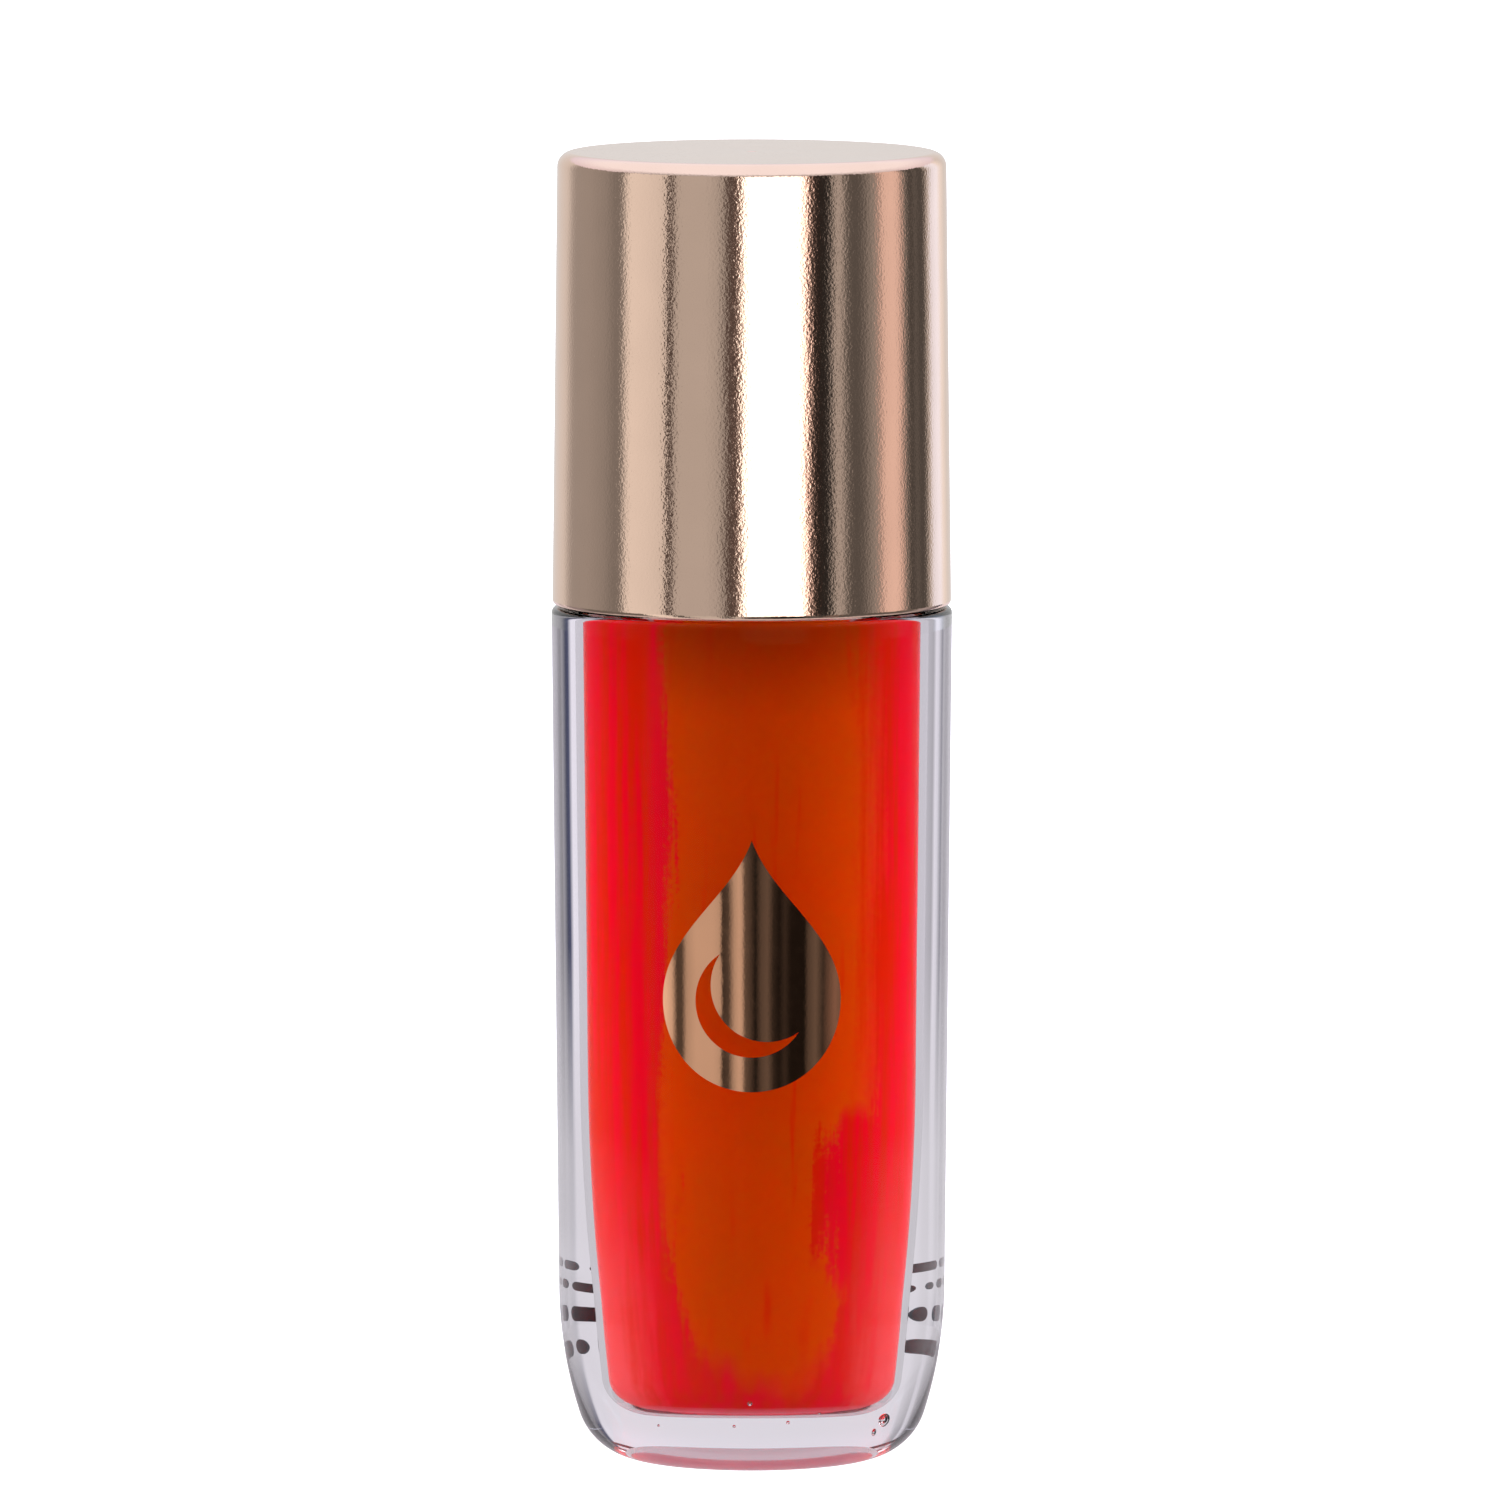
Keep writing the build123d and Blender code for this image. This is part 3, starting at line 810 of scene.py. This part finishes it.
make_bottle(clear_plastic())
make_gloss(red_gloss())
make_cap_shell(rose_gold("rose_gold_plating", (0.92, 0.66, 0.51, 1), 0.007, 0.03))
make_emblem(rose_gold("rose_gold_foil", (0.93, 0.49, 0.29, 1), 0.001, 0.03))
make_back_print(ink())
paint_node("inner_cap", moulded("white_polypropylene", (0.84, 0.83, 0.8, 1), 0.35).material)
paint_node("wand_stem", wet_stem())
paint_node("wiper", moulded("soft_polyethylene", (0.8, 0.79, 0.76, 1), 0.42, 0.35).material)
paint_node("cap_gasket", foam())
paint_node("applicator_core", moulded("applicator_elastomer", (0.8, 0.3, 0.28, 1), 0.5).material)
flock = soaked_flock()
paint_node("applicator_flock", flock)
make_flock_fibres(flock)


# ---- Studio ------------------------------------------------------------------------------------
# The rings' wash is a plain pale light mixed into their bands. Past an azimuth, it passes from a
# row's front wash to its side wash. Their fill is what they throw on the gloss behind the wall.
WASH = (0.72, 0.69, 0.73)
WASH_START = 58
WASH_FADE = 12
FILL_FRONT = 0.45
FILL_SIDE = 2.7
FILL_BELOW = 0.3
FILL_FOOT = 1.0
RING_STEP = 3.0


def stage_object(name, mesh, material):
    """Studio object made of a bmesh. It isn't part of the product."""
    data = bpy.data.meshes.new(name)
    mesh.to_mesh(data)
    mesh.free()
    data.materials.append(material)
    piece = bpy.data.objects.new(name, data)
    bpy.context.collection.objects.link(piece)
    return piece


def ring_material(name):
    """Light that shows the mesh's glow, and throws the mesh's fill on whatever scatters light."""
    material = bpy.data.materials.new(name)
    material.use_nodes = True
    light = Nodes(material.node_tree)
    light.tree.nodes.clear()
    glow = light.node("ShaderNodeAttribute", attribute_name="glow").outputs["Color"]
    fill = light.node("ShaderNodeAttribute", attribute_name="fill").outputs["Color"]
    scattered = light.math("MINIMUM", light.node("ShaderNodeLightPath").outputs["Diffuse Depth"], 1.0)
    emission = light.node("ShaderNodeEmission")
    light.link(light.blend(scattered, glow, fill), emission.inputs["Color"])
    output = light.node("ShaderNodeOutputMaterial")
    light.link(emission.outputs["Emission"], output.inputs["Surface"])
    return material


def ring_colours(stops):
    """Azimuths and colours round a ring, evenly spaced from each stop to the next."""
    colours = []
    for (start, dim, first), (end, bright, last) in zip(stops, stops[1:]):
        steps = max(1, round((end - start) / RING_STEP))
        for step in range(steps):
            share = step / steps
            colour = Vector(first) * dim * (1 - share) + Vector(last) * bright * share
            colours.append((start + (end - start) * share, colour))
    return colours


def light_ring(name, stops, rows, radius, through=True, mirrored=True):
    """Upright ring of light round the object, seen only in reflections and through the clear wall.

    Its stops are (azimuth, brightness, tint), with the azimuth in degrees from the front (-Y) to
    the right (+X). Its rows are (height, side wash, front wash), with the height in mm. A wash is
    the share of plain pale light there. The fill is stronger from the sides and from below."""
    mesh = bmesh.new()
    glow = mesh.verts.layers.float_color.new("glow")
    fill = mesh.verts.layers.float_color.new("fill")
    columns = []
    for azimuth, colour in ring_colours(stops):
        turn = math.radians(azimuth)
        side = min(1, max(0, (abs(azimuth) - WASH_START) / WASH_FADE))
        column = []
        for height, side_wash, front_wash in rows:
            place = Vector((radius * math.sin(turn), -radius * math.cos(turn), height))
            vert = mesh.verts.new(place * MM)
            wash = front_wash + (side_wash - front_wash) * side
            vert[glow] = (*colour.lerp(Vector(WASH), wash), 1)
            soft = (FILL_FRONT + (FILL_SIDE - FILL_FRONT) * side) * (1 + FILL_BELOW * side_wash)
            soft += FILL_FOOT * front_wash
            vert[fill] = (soft, soft, soft, 1)
            column.append(vert)
        columns.append(column)
    for near, far in zip(columns, columns[1:] + columns[:1]):
        for low in range(len(rows) - 1):
            mesh.faces.new((near[low], far[low], far[low + 1], near[low + 1]))
    piece = stage_object(name, mesh, ring_material(name))
    piece.visible_camera = False
    piece.visible_diffuse = False
    piece.visible_shadow = False
    piece.visible_transmission = through
    piece.visible_glossy = mirrored


PLAIN = (1.0, 1.0, 1.0)
WARM = (1.0, 0.8, 0.76)
COOL = (0.85, 0.95, 1.15)
NAVY = (0.5, 0.6, 1.4)
LILAC = (1.0, 0.95, 1.04)
CAP_RING = [
    (-180, 0.75, PLAIN), (-144, 0.7, PLAIN), (-136, 0.66, PLAIN), (-131, 0.48, PLAIN), (-125, 0.35, PLAIN),
    (-108, 0.335, PLAIN), (-93, 0.28, PLAIN), (-84, 0.2, PLAIN), (-80, 0.22, PLAIN), (-77, 0.6, PLAIN),
    (-74, 0.8, PLAIN), (-62, 0.75, PLAIN), (-52, 0.68, PLAIN), (-50, 0.58, PLAIN), (-48.5, 0.08, WARM),
    (-46.5, 0.08, WARM), (-44.5, 0.4, PLAIN), (-42, 0.485, PLAIN), (-26, 0.485, PLAIN), (-19, 0.42, PLAIN),
    (-16, 0.3, PLAIN), (-13, 0.1, WARM), (-9.5, 0.08, WARM), (-7.5, 0.25, WARM), (-5.5, 0.9, PLAIN),
    (-4, 2.1, PLAIN), (28, 2.1, PLAIN), (31, 1.2, WARM), (33, 0.2, WARM), (36, 0.03, WARM),
    (41, 0.02, PLAIN), (44, 0.04, PLAIN), (46.5, 0.18, PLAIN), (49, 0.4, PLAIN), (51, 0.43, PLAIN),
    (54, 0.25, PLAIN), (56.5, 0.12, PLAIN), (61, 0.09, PLAIN), (66, 0.12, PLAIN), (71, 0.23, PLAIN),
    (75, 0.29, PLAIN), (78, 0.45, WARM), (81, 0.73, WARM), (89, 0.8, WARM), (93, 0.72, WARM),
    (96, 0.5, WARM), (99, 0.2, PLAIN), (102, 0.1, PLAIN), (105, 0.06, PLAIN), (109, 0.12, PLAIN),
    (114, 0.07, PLAIN), (119, 0.1, PLAIN), (124, 0.5, PLAIN), (128, 1.0, COOL), (138, 1.15, COOL),
    (144, 0.9, PLAIN), (154, 0.7, PLAIN), (180, 0.75, PLAIN),
]
BOTTLE_RING = [
    (-180, 0.78, LILAC), (-141, 0.8, LILAC), (-137, 0.5, LILAC), (-133, 0.42, LILAC), (-130.5, 0.85, LILAC),
    (-128, 0.8, LILAC), (-124, 0.36, LILAC), (-119, 0.28, LILAC), (-108, 0.3, LILAC), (-101, 0.15, PLAIN),
    (-60, 0.15, PLAIN), (-56, 0.85, PLAIN), (-46, 0.85, PLAIN), (-42, 0.6, PLAIN), (-39.5, 0.08, PLAIN),
    (-36.5, 0.08, PLAIN), (-34, 0.45, PLAIN), (-29, 0.57, PLAIN), (-20, 0.57, PLAIN), (-16.5, 0.5, PLAIN),
    (-15, 0.05, PLAIN), (-12, 0.08, PLAIN), (-9, 0.45, PLAIN), (-6.5, 0.57, PLAIN), (-5, 0.5, PLAIN),
    (-3.5, 0.12, PLAIN), (-1, 0.07, PLAIN), (2, 0.01, PLAIN), (5, 0.09, PLAIN), (8, 0.12, PLAIN),
    (11, 0.03, PLAIN), (14, 0.01, PLAIN), (17, 0.035, PLAIN), (20, 0.01, PLAIN), (27, 0.01, PLAIN),
    (29, 0.08, PLAIN), (33, 0.13, PLAIN), (37, 0.04, PLAIN), (44, 0.22, WARM), (50, 0.1, PLAIN),
    (58, 0.1, PLAIN), (100, 0.15, PLAIN), (107, 0.4, LILAC), (118, 0.32, LILAC), (124, 0.24, LILAC),
    (128.5, 0.06, NAVY), (131, 0.09, NAVY), (134, 0.95, LILAC), (140, 0.85, LILAC), (180, 0.78, LILAC),
]
CAP_ROWS = ((1, 0, 0), (120, 0, 0))
BOTTLE_ROWS = (
    (0, 0.15, 0.8),
    (2.5, 0.3, 0.8),
    (4.5, 0.85, 0.8),
    (8, 0.8, 0),
    (12, 0.75, 0),
    (24, 0, 0),
    (42, 0, 0),
)
EDGE_ROWS = ((42, 0, 0), (47, 0, 0))
light_ring("cap_ring", CAP_RING, CAP_ROWS, 150, through=False)
light_ring("bottle_ring", BOTTLE_RING, BOTTLE_ROWS, 45)
light_ring("edge_ring", BOTTLE_RING, EDGE_ROWS, 45, mirrored=False)


LAMP_AIM = (0, 0, 0.035)


def softbox(name, place, size, watts):
    """Large square area light that faces the object."""
    data = bpy.data.lights.new(name, "AREA")
    data.shape = "SQUARE"
    data.size = size
    data.energy = watts
    lamp = bpy.data.objects.new(name, data)
    lamp.location = place
    lamp.rotation_euler = (Vector(LAMP_AIM) - Vector(place)).to_track_quat("-Z", "Y").to_euler()
    lamp.visible_glossy = False
    bpy.context.collection.objects.link(lamp)


softbox("overhead", (0, 0.35, 1.2), 0.5, 1.5)
softbox("left_side", (-0.55, 0.3, 1.0), 0.7, 2.5)
softbox("right_side", (0.55, 0.3, 1.0), 0.7, 2.5)


def make_world():
    """Surroundings: grey in front, pale lilac behind and bluish white overhead."""
    world = bpy.data.worlds.new("studio")
    world.use_nodes = True
    sky = Nodes(world.node_tree)
    direction = sky.node("ShaderNodeSeparateXYZ")
    sky.link(sky.node("ShaderNodeTexCoord").outputs["Generated"], direction.inputs["Vector"])
    behind = sky.spread(direction.outputs["Y"], -0.5, 0.4, 0, 1)
    above = sky.spread(direction.outputs["Z"], 0.25, 0.6, 0, 1)
    walls = sky.blend(behind, (0.2, 0.19, 0.19, 1), (0.77, 0.71, 0.86, 1))
    colour = sky.blend(above, walls, (1.0, 1.06, 1.22, 1))
    sky.link(colour, sky.tree.nodes["Background"].inputs["Color"])
    bpy.context.scene.world = world


def sheet_material(name, shade, glow, strength):
    """Matt paper of a grey shade that glows a little."""
    look = Look(name, Base_Color=(shade, shade, shade, 1), Roughness=0.9)
    look.shader.inputs["Emission Color"].default_value = glow
    look.shader.inputs["Emission Strength"].default_value = strength
    return look.material


GROUND_SIDES = 96


def ground(name, radius, height, material):
    """Flat round sheet under the object."""
    mesh = bmesh.new()
    corners = []
    for step in range(GROUND_SIDES):
        turn = 2 * math.pi * step / GROUND_SIDES
        place = Vector((radius * math.cos(turn), radius * math.sin(turn), height))
        corners.append(mesh.verts.new(place * MM))
    mesh.faces.new(corners)
    return stage_object(name, mesh, material)


make_world()
ground("floor", 6000, -0.1, sheet_material("floor_paper", 0.92, (1, 1, 1, 1), 0.8))
grey_card = ground("grey_card", 46, -0.05, sheet_material("grey_card", 0.04, (1, 0.93, 1, 1), 0.56))
grey_card.visible_camera = False

CAMERA_PLACE = (-0.0001, -1.08, 0.147)
CAMERA_AIM = (-0.0001, 0, 0.03906)
camera_data = bpy.data.cameras.new("camera")
camera_data.sensor_width = 36
camera_data.lens = 474.3
camera_data.clip_start = 0.05
camera = bpy.data.objects.new("camera", camera_data)
camera.location = CAMERA_PLACE
camera.rotation_euler = (Vector(CAMERA_AIM) - Vector(CAMERA_PLACE)).to_track_quat("-Z", "Y").to_euler()
bpy.context.collection.objects.link(camera)
bpy.context.scene.camera = camera
bpy.context.scene.view_settings.view_transform = "Standard"
